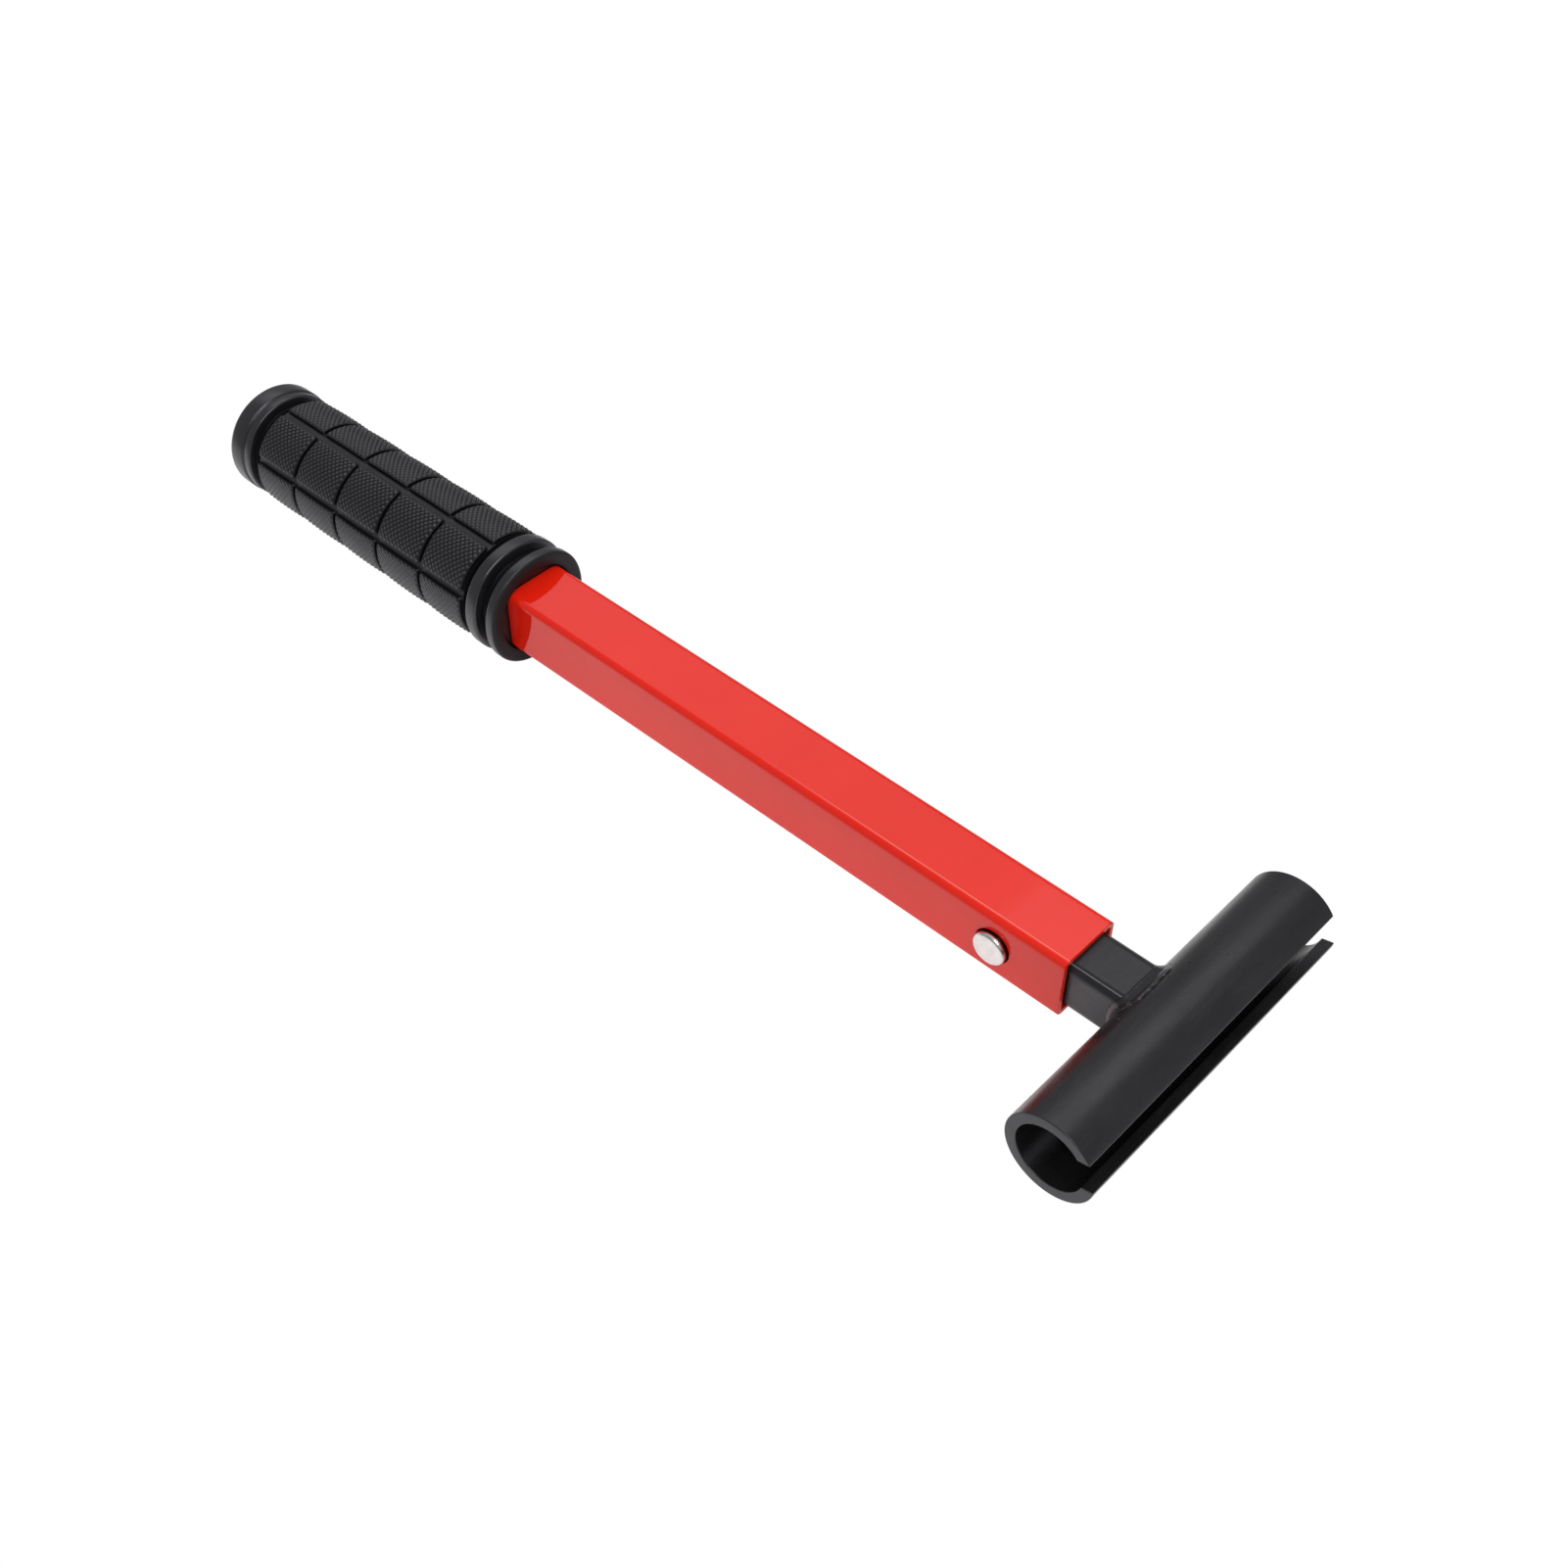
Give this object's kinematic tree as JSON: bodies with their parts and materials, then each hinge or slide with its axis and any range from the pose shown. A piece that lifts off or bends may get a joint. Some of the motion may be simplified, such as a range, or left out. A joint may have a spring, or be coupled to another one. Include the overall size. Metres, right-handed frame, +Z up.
{
  "type": "fire hydrant wrench",
  "caption": "Square-tube hydrant wrench with a rubber grip and a take-apart head: a slotted cross tube on a stem, locked in the handle by a spring snap button.",
  "frame": {"origin": "centre of the cross tube's bore", "axes": "+Y along the cross tube's bore, -X along the handle towards the grip, +Z up"},
  "size_m": [0.3647, 0.1, 0.0358],
  "materials": {
    "red_paint": "gloss",
    "grip_rubber": "matte",
    "black_paint": "satin",
    "weld_metal": "satin, uneven",
    "button_steel": "satin",
    "spring_steel": "bright"
  },
  "bodies": {
    "handle": {"handle_tube": "red_paint", "grip": "grip_rubber"},
    "head": {"head_stem": "black_paint", "cross_tube": "black_paint", "weld_bead": "weld_metal", "button_spring": "spring_steel"},
    "button": {"snap_button": "button_steel"}
  },
  "joints": [
    {"name": "head_slide", "type": "slide", "parent": "handle", "child": "head", "axis": [1, 0, 0], "range_m": [0, 0.165]},
    {"name": "button_press", "type": "slide", "parent": "head", "child": "button", "axis": [0, 1, 0], "range_m": [0, 0.0037], "stiffness_N_per_m": 1500, "springref_m": -0.003, "deforming": ["button_spring"]}
  ]
}
